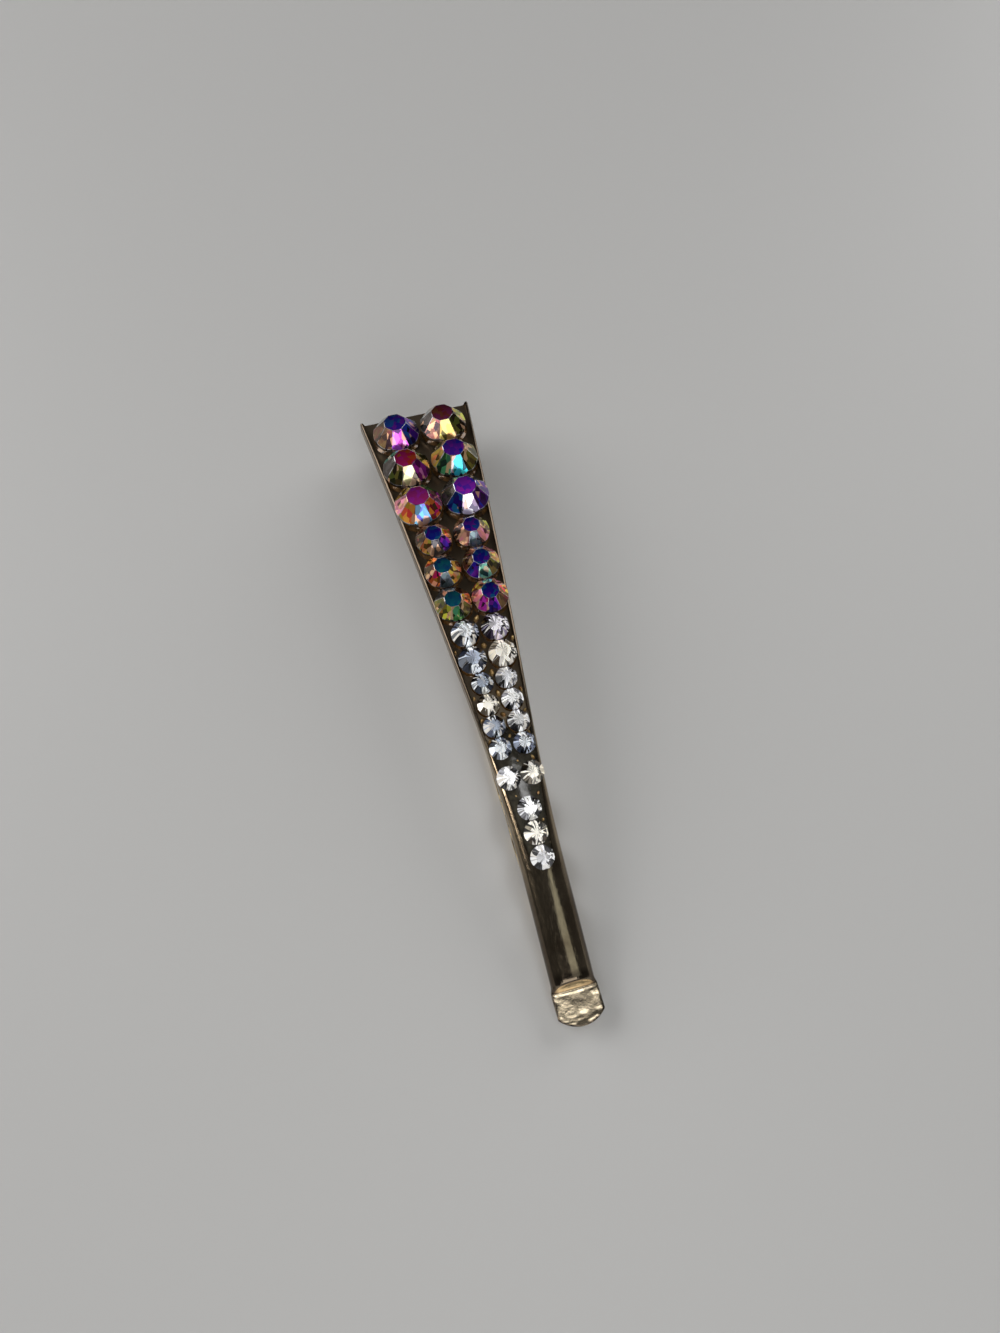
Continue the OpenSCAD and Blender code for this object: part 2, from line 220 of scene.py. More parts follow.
def modifier(piece, kind, **values):
    """Adds a modifier, sets its values and applies it."""
    step = piece.modifiers.new(kind.lower(), kind)
    for key, value in values.items():
        setattr(step, key, value)
    alone(piece)
    bpy.ops.object.modifier_apply(modifier=step.name)


def finish_piece(piece, body, material, node=None, smooth=30):
    """Brings a piece to the origin, smooths it, paints it and ties it to its body."""
    alone(piece)
    bpy.ops.object.transform_apply(location=True, rotation=True, scale=True)
    bpy.ops.object.shade_smooth_by_angle(angle=math.radians(smooth))
    piece.data.materials.clear()
    piece.data.materials.append(material)
    if body:
        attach(piece, body)
    if node:
        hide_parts(node)
    print("piece", piece.name, "faces", len(piece.data.polygons))
    return piece


print("helpers: alone, copy_of, modifier, finish_piece")

# %% [markdown]
# ## Shared effects
# Fine lines and cloudy tarnish show on every plated piece, and the play of light inside a stone
# is the same for both kinds of stone. They could be built again in each material, but then each
# change would have to be made many times. So each is a node group with named inputs. A group
# gives only a mask or a colour, and the shader stays in each material.

# %% Helpers for nodes
def feed(tree, node, inputs):
    """Sets a node's inputs. Each is a plain value or the socket that feeds it."""
    for key, value in inputs.items():
        if isinstance(value, bpy.types.NodeSocket):
            tree.links.new(value, node.inputs[key])
        else:
            node.inputs[key].default_value = value


def put(tree, kind, inputs=None, **settings):
    """Adds a shader node, with its settings and its inputs."""
    node = tree.nodes.new("ShaderNode" + kind)
    for key, value in settings.items():
        setattr(node, key, value)
    feed(tree, node, inputs or {})
    return node


def sums(tree, operation, *values):
    return put(tree, "Math", dict(enumerate(values)), operation=operation).outputs[0]


def times(tree, first, second):
    return sums(tree, "MULTIPLY", first, second)


def plus(tree, first, second):
    return sums(tree, "ADD", first, second)


def larger(tree, first, second):
    return sums(tree, "MAXIMUM", first, second)


def level(tree, value, low, high, to_low=0.0, to_high=1.0):
    """Maps a value that runs from low to high to a level, and stops at both ends."""
    return put(tree, "MapRange", {"Value": value, "From Min": low, "From Max": high,
                                  "To Min": to_low, "To Max": to_high}).outputs[0]


def mixed(tree, share, first, second):
    """Mixes two colours. A Mix node takes them at inputs 6 and 7 and gives output 2."""
    return put(tree, "Mix", {0: share, 6: first, 7: second}, data_type="RGBA").outputs[2]


def vectors(tree, operation, first, second):
    return put(tree, "VectorMath", {0: first, 1: second}, operation=operation).outputs[0]


def length(tree, vector):
    return put(tree, "VectorMath", {0: vector}, operation="LENGTH").outputs["Value"]


print("helpers: feed, put, sums, times, plus, larger, level, mixed, vectors, length")

# %% Helpers for groups and materials
FLOAT, COLOUR = "NodeSocketFloat", "NodeSocketColor"


def new_group(name, inputs, outputs):
    """Starts a node group. Gives its tree, the inputs it is given and the outputs it makes."""
    group = bpy.data.node_groups.new(name, "ShaderNodeTree")
    for label, kind, value in inputs:
        group.interface.new_socket(label, in_out="INPUT", socket_type=kind).default_value = value
    for label, kind in outputs:
        group.interface.new_socket(label, in_out="OUTPUT", socket_type=kind)
    given = group.nodes.new("NodeGroupInput").outputs
    return group, given, group.nodes.new("NodeGroupOutput").inputs


def use(tree, group, inputs=None):
    """Places a group in a material."""
    node = tree.nodes.new("ShaderNodeGroup")
    node.node_tree = group
    feed(tree, node, inputs or {})
    return node.outputs


def new_material(name):
    """Starts a material. Gives it with its tree and its shader."""
    material = bpy.data.materials.new(name)
    material.use_nodes = True
    return material, material.node_tree, material.node_tree.nodes["Principled BSDF"]


print("helpers: new_group, use, new_material")

# %% Fine lines along the clip
lines_group, given, made = new_group(
    "fine_lines", [("Across", FLOAT, 9000.0), ("Along", FLOAT, 240.0)], [("Mask", FLOAT)])
place = put(lines_group, "TexCoord").outputs["Object"]
stretch = put(lines_group, "CombineXYZ",
              {0: given["Across"], 1: given["Along"], 2: given["Across"]}).outputs[0]
grain = put(lines_group, "TexNoise", {
    "Vector": vectors(lines_group, "MULTIPLY", place, stretch), "Scale": 1.0, "Detail": 3.0})
lines_group.links.new(level(lines_group, grain.outputs["Fac"], 0.45, 0.72), made["Mask"])
print("group", lines_group.name)

# %% Cloudy tarnish
clouds_group, given, made = new_group(
    "tarnish_clouds", [("Scale", FLOAT, 300.0)], [("Mask", FLOAT)])
place = put(clouds_group, "TexCoord").outputs["Object"]
noise = put(clouds_group, "TexNoise", {
    "Vector": place, "Scale": given["Scale"], "Detail": 4.0, "Roughness": 0.6})
clouds_group.links.new(level(clouds_group, noise.outputs["Fac"], 0.35, 0.7), made["Mask"])
print("group", clouds_group.name)

# %% [markdown]
# A real stone is full of pictures of the lamps, thrown back and forth by its facets. They could
# be traced through clear glass, but that is slow and grainy in stones this small. Here they are
# painted, as flat patches of light. In a coated stone the patches lie at random. In a clear
# stone they are folded round its axis, as in a kaleidoscope, which gives its star. Each patch
# has its own brightness and a small shift of hue, and a few patches flash. The flat top of a
# coated stone, its table, is calm: it only brightens smoothly towards the tip.

# %% Patches of light inside a stone
fire_group, given, made = new_group(
    "inner_fire",
    [("Tint", COLOUR, (1, 1, 1, 1)), ("Seed", FLOAT, 0.0), ("Star", FLOAT, 0.0),
     ("Cells", FLOAT, 7.0), ("Darkest", FLOAT, 0.3), ("Brightest", FLOAT, 1.3),
     ("Hue Shift", FLOAT, 0.05), ("Flash", FLOAT, 0.5), ("Glint", COLOUR, (1, 1, 1, 1))],
    [("Color", COLOUR)])
flat = put(fire_group, "UVMap", uv_map="stone_uv").outputs[0]
centred = vectors(fire_group, "SUBTRACT", flat, (0.5, 0.5, 0))
radius = length(fire_group, centred)
x, y, _ = put(fire_group, "SeparateXYZ", {0: centred}).outputs
seed = times(fire_group, given["Seed"], 5.0)
scattered = put(fire_group, "CombineXYZ", {0: x, 1: y, 2: seed}).outputs[0]
eighths = times(fire_group, sums(fire_group, "ARCTAN2", y, x), 8 / math.pi)
folded = times(fire_group, sums(fire_group, "PINGPONG", eighths, 1.0), 0.26)
star = put(fire_group, "CombineXYZ",
           {0: times(fire_group, radius, 0.55), 1: folded, 2: seed}).outputs[0]
picture = put(fire_group, "Mix", {0: given["Star"], 4: scattered, 5: star}, data_type="VECTOR")
cells = put(fire_group, "TexVoronoi", {"Vector": picture.outputs[1], "Scale": given["Cells"]})
first, second, third = put(fire_group, "SeparateColor", {0: cells.outputs["Color"]}).outputs
print("patches in", fire_group.name)

# %% Colour of the patches
bright = level(fire_group, first, 0.15, 0.85, given["Darkest"], given["Brightest"])
off_table = level(fire_group, radius, 0.215, 0.225)
busy = larger(fire_group, off_table, given["Star"])
calm = level(fire_group, y, -0.2, 0.2, 1.5, 0.6)
strength = put(fire_group, "Mix", {0: busy, 2: calm, 3: bright}, data_type="FLOAT").outputs[0]
shift = times(fire_group, sums(fire_group, "SUBTRACT", second, 0.5), given["Hue Shift"])
tuned = put(fire_group, "HueSaturation", {
    "Hue": plus(fire_group, shift, 0.5), "Value": strength, "Color": given["Tint"]}).outputs[0]
flashing = times(fire_group, level(fire_group, third, 0.87, 0.89),
                 times(fire_group, busy, given["Flash"]))
fire_group.links.new(mixed(fire_group, flashing, tuned, given["Glint"]), made["Color"])
print("group", fire_group.name, "nodes", len(fire_group.nodes))

# %% [markdown]
# ## Plated metal
# Thin gold plate over brass is never one even colour: handling leaves a brown bloom and fine
# lines along the strip. It could be painted on by hand, but a mix of two golds by a cloudy mask
# covers every side at once and has no seams. The lines change the gloss and leave a faint relief.
#
# The leg has more to it. Its tip tab is rubbed clean and is hammered, so the bloom ends and small
# dents begin at the tab's crease. The tray is bloomed all over. A dark brown is painted on as
# shade over the tray's rims, in the corner behind the crease, on the strip's flanks near the tab
# and round the edge of the tab. Each of these places is a mask made from where a point lies on the
# clip. The distance from the arch's centre tells the rims from what lies below them.

# %% Places on the leg
# The crease behind the tab, the heights of the arch, the arch's centre and radius, and the
# centre of the tab's round end.
crease_y = tip_y + 3.3 * MM
arch_top, end_top = 8.2 * MM, 5.3 * MM
arch_y = tip_y + 0.595 * (wide_y - tip_y)
reach_y = wide_y - arch_y
arch_r = (reach_y ** 2 / (arch_top - end_top) + arch_top - end_top) / 2
arch_z = arch_top - arch_r
tab_end_y = tip_y + 2.985 * MM
print("arch's radius", round(arch_r, 4), "crease at", round(crease_y, 4))

# %% Masks for the leg
def distance(tree, place, centre, axes):
    """How far a place is from a centre, measured along the axes that are 1."""
    apart = vectors(tree, "SUBTRACT", place, centre)
    return length(tree, vectors(tree, "MULTIPLY", apart, axes))


def leg_masks(tree, place):
    """The strip, the tab, the tray, the tray's floor and the painted shade, each from 0 to 1."""
    across, along, _ = put(tree, "SeparateXYZ", {0: place}).outputs
    across = sums(tree, "ABSOLUTE", across)
    from_arch = distance(tree, place, (0, arch_y, arch_z), (0, 1, 1))
    from_end = distance(tree, place, (0, tab_end_y, 0), (1, 1, 0))

    def behind_crease(start, end, *levels):
        return level(tree, along, crease_y + start * MM, crease_y + end * MM, *levels)

    strip = behind_crease(-0.1, 0.1)
    tab = sums(tree, "SUBTRACT", 1.0, strip)
    tray = behind_crease(12, 30, 0, 0.95)
    rim = level(tree, from_arch, arch_r - 0.35 * MM, arch_r - 0.15 * MM, 0, 0.65)
    below = level(tree, from_arch, arch_r - 0.5 * MM, arch_r - 0.4 * MM, 0.25, 0)
    flank = times(tree, level(tree, across, 1.5 * MM, 1.8 * MM, 0, 0.8),
                  behind_crease(8, 14, 1, 0))
    corner = times(tree, behind_crease(0.45, 0.7), behind_crease(1.3, 1.8, 0.7, 0))
    edge = larger(tree, level(tree, across, 1.95 * MM, 2.15 * MM, 0, 0.85),
                  level(tree, from_end, 2.7 * MM, 2.86 * MM, 0, 0.85))
    # Painted shade: the rims in the tray, the edge of the tab, and the strip's flanks and the
    # corner behind the crease.
    painted_shade = larger(tree, times(tree, rim, tray), times(tree, edge, tab))
    painted_shade = larger(tree, painted_shade, times(tree, strip, larger(tree, flank, corner)))
    return strip, tab, tray, times(tree, below, tray), painted_shade


print("helpers: distance, leg_masks")

# %% Gold materials
# A dark brown that is painted on as shade.
painted_shade_brown = (0.06, 0.045, 0.035, 1)


def plated(name, clean, bloomed, rough, rough_lines, bloom_low, on_leg=False):
    """Gold with bloom and fine lines. On the leg it also has its masks, its painted shade and a
    hammered tab.
    """
    material, tree, shader = new_material(name)
    bloom = level(tree, use(tree, clouds_group, {"Scale": 260.0})["Mask"], 0, 1, bloom_low, 1)
    lines = use(tree, lines_group)["Mask"]
    if on_leg:
        place = put(tree, "TexCoord").outputs["Object"]
        strip, tab, tray, tray_floor, painted_shade = leg_masks(tree, place)
        lines = times(tree, lines, strip)
        spots = times(tree, use(tree, clouds_group, {"Scale": 800.0})["Mask"], 0.6)
        bloom = larger(tree, times(tree, bloom, strip), tray)
        bloom = larger(tree, bloom, times(tree, spots, tab))
    relief = times(tree, lines, 0.05)
    gloss = level(tree, lines, 0, 1, rough, rough_lines)
    colour = mixed(tree, bloom, (*clean, 1), (*bloomed, 1))
    if on_leg:
        dents = put(tree, "TexNoise", {"Vector": place, "Scale": 2000.0, "Detail": 2.0})
        relief = plus(tree, relief, times(tree, dents.outputs["Fac"], times(tree, tab, 0.5)))
        gloss = plus(tree, plus(tree, gloss, times(tree, tab, 0.08)), tray_floor)
        # Painted shade darkens the gold at these places.
        colour = mixed(tree, painted_shade, colour, painted_shade_brown)
    bump = put(tree, "Bump", {"Strength": 0.6, "Distance": 0.05 * MM, "Height": relief})
    feed(tree, shader, {"Metallic": 1.0, "Base Color": colour, "Roughness": gloss,
                        "Normal": bump.outputs[0]})
    print("material", name, "nodes", len(tree.nodes))
    return material


leg_gold = plated("polished_gold", (0.80, 0.68, 0.48), (0.20, 0.15, 0.10), 0.12, 0.23, 0.65, True)
spring_gold = plated("satin_gold", (0.74, 0.58, 0.34), (0.50, 0.38, 0.2), 0.24, 0.42, 0.0)

# %% [markdown]
# ## The upper leg
# The real leg is pressed from one strip, and a press leaves no sharp edges. The leg could be
# built again from a grid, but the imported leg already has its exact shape. So a merged copy is
# turned into four-sided faces, and its sharp edges are rolled off with a narrow bevel. The tip
# tab is then cut finer and hammered with a soft noise, because real dents catch the light from
# every side, which a bump in the material can't do at the tab's outline.

# %% Upper leg
leg = copy_of("upper_leg", "pressed_leg")
bpy.ops.object.mode_set(mode="EDIT")
bpy.ops.mesh.select_all(action="SELECT")
bpy.ops.mesh.tris_convert_to_quads(face_threshold=math.radians(60),
                                   shape_threshold=math.radians(180))
bpy.ops.object.mode_set(mode="OBJECT")
modifier(leg, "BEVEL", width=0.05 * MM, segments=2, limit_method="ANGLE",
         angle_limit=math.radians(42))
modifier(leg, "SUBSURF", levels=1, render_levels=1)
print("leg faces", len(leg.data.polygons))


# %% Hammer the tab
def on_tab(face, margin):
    return face.center.y < crease_y - margin and face.normal.z > 0.5


for face in leg.data.polygons:
    face.select = on_tab(face, 0)
alone(leg)
bpy.ops.object.mode_set(mode="EDIT")
bpy.ops.mesh.select_mode(type="FACE")
bpy.ops.mesh.subdivide(number_cuts=2)
bpy.ops.object.mode_set(mode="OBJECT")
crease_margin, tip_margin = 0.25 * MM, 0.12 * MM
tab_points = {point for face in leg.data.polygons if on_tab(face, crease_margin)
              for point in face.vertices
              if leg.data.vertices[point].co.y > tip_y + tip_margin}
tab_top = leg.vertex_groups.new(name="tab_top")
tab_top.add(list(tab_points), 1.0, "REPLACE")
hammer = bpy.data.textures.new("hammer_marks", "CLOUDS")
hammer.noise_scale = 0.7 * MM
hammer.noise_depth = 1
modifier(leg, "DISPLACE", texture=hammer, texture_coords="LOCAL", strength=0.09 * MM,
         mid_level=0.6, vertex_group="tab_top")
leg.vertex_groups.clear()
finish_piece(leg, "upper", leg_gold, "upper_leg", smooth=40)

# %% [markdown]
# ## The spring strip
# The strip is one length of rolled spring steel, and it bends where it turns back. It could be one
# piece, but the clip opens, so it is kept in the imported model's three lengths. The foot rides on
# the upper leg and the long grip on the lower leg. The bend between them is left on its own, tied
# to neither leg.

# %% Spring strip
def rolled(node, name):
    """A copy of a length of the strip, with its edges rolled off."""
    strip = copy_of(node, name)
    modifier(strip, "BEVEL", width=0.06 * MM, segments=2, limit_method="ANGLE",
             angle_limit=math.radians(50))
    return strip


for node, name, body in (("lower_leg", "grip_strip", "lower"),
                         ("spring_foot", "brazed_foot", "upper")):
    finish_piece(rolled(node, name), body, spring_gold, node, smooth=35)

# %% The bend
bend = finish_piece(rolled("spring_bend", "spring_turn"), None, spring_gold,
                    smooth=35)
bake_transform(bend)
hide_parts("spring_bend")

# %% [markdown]
# ## Cutting a stone
# A cutter grinds each facet as one flat plane. A stone could be typed in point by point, but here
# it is cut as the cutter does it. It starts as a round disc, and the same cut, bisect with its
# outer side cleared and the hole filled, takes off one facet after another. A narrow bevel leaves
# the bright line that real facet edges have. The bevel's faces get a material number of their own,
# so that they can be found again when the facets are tinted, and their pale tint adds a painted
# highlight to that line.

# %% Cut a stone
facet_turn = 2 * math.pi / 8
foot_share, star_share, star_slope = 0.96, 0.97, math.radians(35)


def cut_stone(name, size, girdle, crown, table, edge_w, stars=False):
    """A stone's girdle and crown are shares of its size, and its table is one of its radius."""
    radius, top = size / 2, (girdle + crown) * size
    bpy.ops.object.select_all(action="DESELECT")
    bpy.ops.mesh.primitive_cylinder_add(vertices=64, radius=radius, depth=top,
                                        location=(0, 0, top / 2))
    stone = bpy.context.object
    stone.name = stone.data.name = name
    bpy.ops.object.transform_apply(location=True)
    bpy.ops.object.mode_set(mode="EDIT")
    run, rise = (foot_share - table) * radius, crown * size
    cuts = [(0, rise, run, foot_share * radius, girdle * size)]
    if stars:
        cuts.append((facet_turn / 2, math.sin(star_slope), math.cos(star_slope),
                     star_share * table * radius, top))
    for turn, out, up, reach, height in cuts:
        for k in range(8):
            angle = turn + k * facet_turn
            away = Vector((math.cos(angle), math.sin(angle), 0))
            bpy.ops.mesh.select_all(action="SELECT")
            bpy.ops.mesh.bisect(plane_co=away * reach + Vector((0, 0, height)),
                                plane_no=(away * out + Vector((0, 0, up))).normalized(),
                                use_fill=True, clear_outer=True)
    bpy.ops.mesh.select_all(action="SELECT")
    bpy.ops.mesh.dissolve_limited(angle_limit=math.radians(1))
    bpy.ops.object.mode_set(mode="OBJECT")
    stone.data.materials.append(None)
    stone.data.materials.append(None)
    modifier(stone, "BEVEL", width=edge_w, segments=1, limit_method="ANGLE",
             angle_limit=math.radians(12), material=1)
    flat = stone.data.uv_layers.new(name="stone_uv")
    for loop in stone.data.loops:
        point = stone.data.vertices[loop.vertex_index].co
        flat.data[loop.index].uv = (0.5 + point.x / size, 0.5 + point.y / size)
    return stone


print("facets are", round(math.degrees(facet_turn)), "degrees apart")

# %% Master stones
ab_size, clear_size = 4.7 * MM, 2.35 * MM
ab_master = cut_stone("ab_master", ab_size, 0.08, 0.32, 0.45, 0.028 * MM)
clear_master = cut_stone("clear_master", clear_size, 0.08, 0.28, 0.52, 0.014 * MM, stars=True)
print("facets", len(ab_master.data.polygons), len(clear_master.data.polygons))

# %% [markdown]
# ## Tints of the facets
# Each facet of a coated stone shows another colour, because its thin coat is seen at another
# slant. A film in the shader alone gives soft rainbows, but not the strong single colours of these
# facets. So each facet is given its own tint, as it looks from the camera under the lamps. A tint
# is therefore partly the coat's colour and partly painted light: the bright tints on the facets
# towards the tip, such as violet_flash, sun and cream, are painted reflections of the lamps. The
# tints have names, and each stone has a line of them: first the table, then the eight sloping
# facets, anticlockwise from the right. The clear stones are colourless, and each carries a painted
# reflection of another part of the room, in its own silver.

# %% Tints
tint = {
    "indigo": (0.035, 0.008, 0.24), "violet": (0.20, 0.02, 0.50), "magenta": (0.36, 0.02, 0.26),
    "crimson": (0.32, 0.01, 0.05), "maroon": (0.13, 0.015, 0.03), "navy": (0.005, 0.02, 0.22),
    "teal": (0.005, 0.08, 0.15), "cyan": (0.05, 0.62, 1.0), "mint": (0.22, 0.62, 0.48),
    "green": (0.05, 0.22, 0.06), "olive": (0.13, 0.12, 0.02), "gold": (0.70, 0.40, 0.08),
    "orange": (0.95, 0.30, 0.06), "red": (0.60, 0.035, 0.02), "cream": (1.0, 0.82, 0.50),
    "sun": (1.0, 0.66, 0.16), "pink": (0.80, 0.30, 0.27), "lilac": (0.85, 0.66, 1.0),
    "mist": (0.11, 0.15, 0.165), "grey": (0.07, 0.066, 0.062), "brown": (0.14, 0.065, 0.03),
    "steel": (0.10, 0.24, 0.52), "smoke": (0.035, 0.03, 0.035), "purple": (0.09, 0.01, 0.28),
    "yellow": (0.60, 0.48, 0.05), "violet_flash": (0.72, 0.10, 0.95),
    # The pale edge tint is a painted highlight along the facet edges.
    "edge": (0.40, 0.40, 0.42), "girdle": (0.16, 0.13, 0.11),
}
coated = {
    "l1": "indigo purple mist grey grey brown brown violet_flash indigo",
    "r1": "maroon yellow mist mist mist grey brown sun olive",
    "l2": "crimson olive olive brown mint grey olive cream magenta",
    "r2": "purple olive mist mist olive gold green cyan olive",
    "l3": "magenta magenta green brown gold pink orange steel red",
    "r3": "violet indigo mist grey grey grey navy lilac purple",
    "l4": "navy orange pink brown brown brown gold grey violet",
    "r4": "indigo yellow olive smoke brown grey pink mist pink",
    "l5": "teal gold grey smoke orange brown red mist gold",
    "r5": "navy gold pink navy brown brown indigo mint olive",
    "l6": "teal orange brown smoke grey olive yellow green olive",
    "r6": "navy orange pink navy gold pink magenta violet brown",
}
print("tints", len(tint), "coated stones", len(coated))

# %% Silvers
# Each silver runs from bright through pale and dark to a middle grey.
silvers = {
    "cool": ((0.92, 0.96, 1.0), (0.44, 0.49, 0.60), (0.02, 0.025, 0.04), (0.12, 0.14, 0.20)),
    "white": ((1.0, 1.0, 1.0), (0.90, 0.90, 0.93), (0.04, 0.04, 0.045), (0.34, 0.34, 0.37)),
    "warm": ((1.0, 0.95, 0.84), (0.86, 0.78, 0.62), (0.06, 0.045, 0.03), (0.30, 0.26, 0.20)),
    "lilac": ((0.97, 0.93, 1.0), (0.80, 0.72, 0.95), (0.04, 0.03, 0.05), (0.24, 0.20, 0.30)),
}
clear = {"l7": "cool", "r7": "lilac", "l8": "cool", "r8": "warm", "l9": "cool", "r9": "white",
         "l10": "warm", "r10": "white", "l11": "cool", "r11": "white", "l12": "cool",
         "r12": "cool", "l13": "white", "r13": "warm", "s1": "white", "s2": "warm", "s3": "white"}
print("clear stones", len(clear))

# %% Write the tints
# The table's normal points up by more than table_up, and the girdle's by less than girdle_up.
table_up, girdle_up = 0.97, 0.2


def tint_facets(stone, colours, table_colour, seed):
    """Writes each facet's tint to the face colours, and the stone's seed to their alpha."""
    layer = stone.data.attributes.new("facet_tint", "FLOAT_COLOR", "FACE")
    for face in stone.data.polygons:
        normal = face.normal
        angle = math.degrees(math.atan2(normal.y, normal.x))
        facet = round(angle / (360 / len(colours))) % len(colours)
        colour = (tint["edge"] if face.material_index else table_colour if normal.z > table_up
                  else tint["girdle"] if normal.z < girdle_up else colours[facet])
        layer.data[face.index].color = (*colour, seed)


print("helper: tint_facets")

# %% [markdown]
# ## Stone materials
# A flat-backed stone has a foil behind it, and each facet throws back light from the foil in its
# own tint, under a hard clear surface. Real glass over a foil would need many bounces of light.
# A half-metal shader with the tint as its base colour throws back light in much the same way at
# once, and a coat gives the gloss. The coated stones also carry a thin film, which adds a touch
# of rainbow to their reflections.

# %% Stone materials
def jewel(name, metal, inside, film):
    material, tree, shader = new_material(name)
    facet = put(tree, "Attribute", attribute_name="facet_tint")
    colour = use(tree, fire_group, {"Tint": facet.outputs["Color"], "Seed": facet.outputs["Alpha"],
                                    **inside})["Color"]
    feed(tree, shader, {
        "Base Color": colour, "Metallic": metal, "Roughness": 0.14, "IOR": 1.4,
        "Coat Weight": 0.25, "Coat Roughness": 0.02, "Coat IOR": 1.45,
        "Thin Film Thickness": film, "Thin Film IOR": 1.5})
    print("material", name)
    return material


coated_glass = jewel("coated_crystal", 0.55, {
    "Star": 0.0, "Cells": 10.0, "Darkest": 0.14, "Brightest": 1.6, "Hue Shift": 0.12,
    "Flash": 0.6, "Glint": (1.0, 0.58, 0.34, 1)}, 380.0)
clear_glass = jewel("clear_crystal", 0.2, {
    "Star": 0.6, "Cells": 13.0, "Darkest": 0.02, "Brightest": 2.0, "Hue Shift": 0.03,
    "Flash": 1.0, "Glint": (1.0, 0.95, 0.88, 1)}, 0.0)

# %% [markdown]
# ## Setting the stones
# Every stone sits square to the arch, so each leans a little more than the one before it. The
# places could be typed in again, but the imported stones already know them. A packed stone tells
# its size, from its width, and its lean, from the middle of its points. So the master is
# copied, scaled, leaned and moved to match it.

# %% Helper for setting a stone
seat_r = arch_r + 0.03 * MM
seats = {}


def set_stone(node, master, master_size, name, material, colours, table_colour, seed):
    """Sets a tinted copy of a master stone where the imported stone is."""
    points = {tuple(round(c, 7) for c in v.co) for v in frame["nodes"][node].data.vertices}
    middle = sum((Vector(p) for p in points), Vector()) / len(points)
    low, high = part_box(node)
    lean = math.atan2(middle.y - arch_y, middle.z - arch_z)
    seats[node] = (middle.x, lean, high.x - low.x)
    alone(master)
    bpy.ops.object.duplicate()
    stone = bpy.context.object
    stone.name = stone.data.name = name
    tint_facets(stone, colours, table_colour, seed)
    for face in stone.data.polygons:
        face.material_index = 0
    stone.scale = ((high.x - low.x) / master_size,) * 3
    stone.rotation_euler = (-lean, 0, 0)
    stone.location = (middle.x, arch_y + seat_r * math.sin(lean), arch_z + seat_r * math.cos(lean))
    return finish_piece(stone, "upper", material, node, smooth=5)


print("seats on a radius of", round(seat_r, 4))

# %% Set the stones
luck = random.Random(7)
for place, words in coated.items():
    table_tint, *facet_tints = (tint[word] for word in words.split())
    set_stone(f"ab_stone_{place}", ab_master, ab_size, f"coated_stone_{place}", coated_glass,
              facet_tints, table_tint, luck.random())
petal_count = 16
for place, kind in clear.items():
    bright, pale, dark, mid = silvers[kind]
    petals = [luck.choice(((bright, pale), (pale, mid), (mid, dark), (bright, dark))[k % 4])
              for k in range(petal_count)]
    set_stone(f"clear_stone_{place}", clear_master, clear_size, f"crystal_{place}", clear_glass,
              petals, luck.choice((bright, pale)), luck.random())
for master in (ab_master, clear_master):
    bpy.data.objects.remove(master)
print("stones", len(seats))

# %% [markdown]
# ## The adhesive
# The stones are glued down with a clear adhesive that looks amber, because the gold of the tray
# shows through it. Seen through clear gel the gold would need many samples, so the amber is
# painted instead, with a little metal in it and a wet coat. Where the adhesive is thick it is
# smoky. Small beads of it are painted a bright gold, which is a painted glint. The three differ
# only in colours and shine, so one function makes them.

# %% Adhesive materials
def gel(name, deep, light, **shine):
    """A wet adhesive, mottled from a deep to a light colour."""
    material, tree, shader = new_material(name)
    mottle = use(tree, clouds_group, {"Scale": 1500.0})["Mask"]
    bump = put(tree, "Bump", {"Strength": 0.4, "Distance": 0.03 * MM, "Height": mottle})
    feed(tree, shader, {"Base Color": mixed(tree, mottle, (*deep, 1), (*light, 1)),
                        "Metallic": 0.35, "Roughness": 0.16, "Coat Weight": 0.8,
                        "Normal": bump.outputs[0]})
    feed(tree, shader, {label.replace("_", " "): value for label, value in shine.items()})
    print("material", name)
    return material


amber = gel("amber_adhesive", (0.06, 0.027, 0.01), (0.28, 0.14, 0.04))
smoky = gel("smoky_adhesive", (0.03, 0.027, 0.02), (0.075, 0.066, 0.045),
            Metallic=0.0, Roughness=0.22, Coat_Weight=1.0, Coat_Roughness=0.12)
# A bright gold for the beads, painted on as a glint.
painted_glint_gold = gel("adhesive_painted_glint", (0.35, 0.15, 0.03), (1.0, 0.72, 0.30), Metallic=0.4)

# %% [markdown]
# A drop under each stone is pressed out to a puddle with a hollow side. A lathe would turn its
# profile, and spin does the same, but a disc is quicker here: its sides are cut into rings, and
# each ring is scaled to the hollow profile.

# %% One puddle
tray_depth = 0.6 * MM
puddle_h = tray_depth + 0.02 * MM
profile = (1.03, 0.93, 0.88, 0.86, 0.87, 0.92)
bpy.ops.object.select_all(action="DESELECT")
bpy.ops.mesh.primitive_cylinder_add(vertices=40, radius=1, depth=puddle_h,
                                    location=(0, 0, puddle_h / 2))
puddle = bpy.context.object
puddle.name = "puddle"
bpy.ops.object.transform_apply(location=True)
corners = puddle.data.vertices
uprights = [edge.index for edge in puddle.data.edges
            if abs(corners[edge.vertices[0]].co.z - corners[edge.vertices[1]].co.z) > puddle_h / 2]
alone(puddle)
bpy.ops.object.mode_set(mode="EDIT")
bpy.ops.mesh.select_mode(type="EDGE")
bpy.ops.mesh.select_all(action="DESELECT")
bpy.ops.object.mode_set(mode="OBJECT")
for k in uprights:
    puddle.data.edges[k].select = True
bpy.ops.object.mode_set(mode="EDIT")
bpy.ops.mesh.subdivide(number_cuts=len(profile) - 2)
bpy.ops.object.mode_set(mode="OBJECT")
for point in puddle.data.vertices:
    ring = round(point.co.z / puddle_h * (len(profile) - 1))
    point.co.x *= profile[ring]
    point.co.y *= profile[ring]
print("puddle faces", len(puddle.data.polygons))

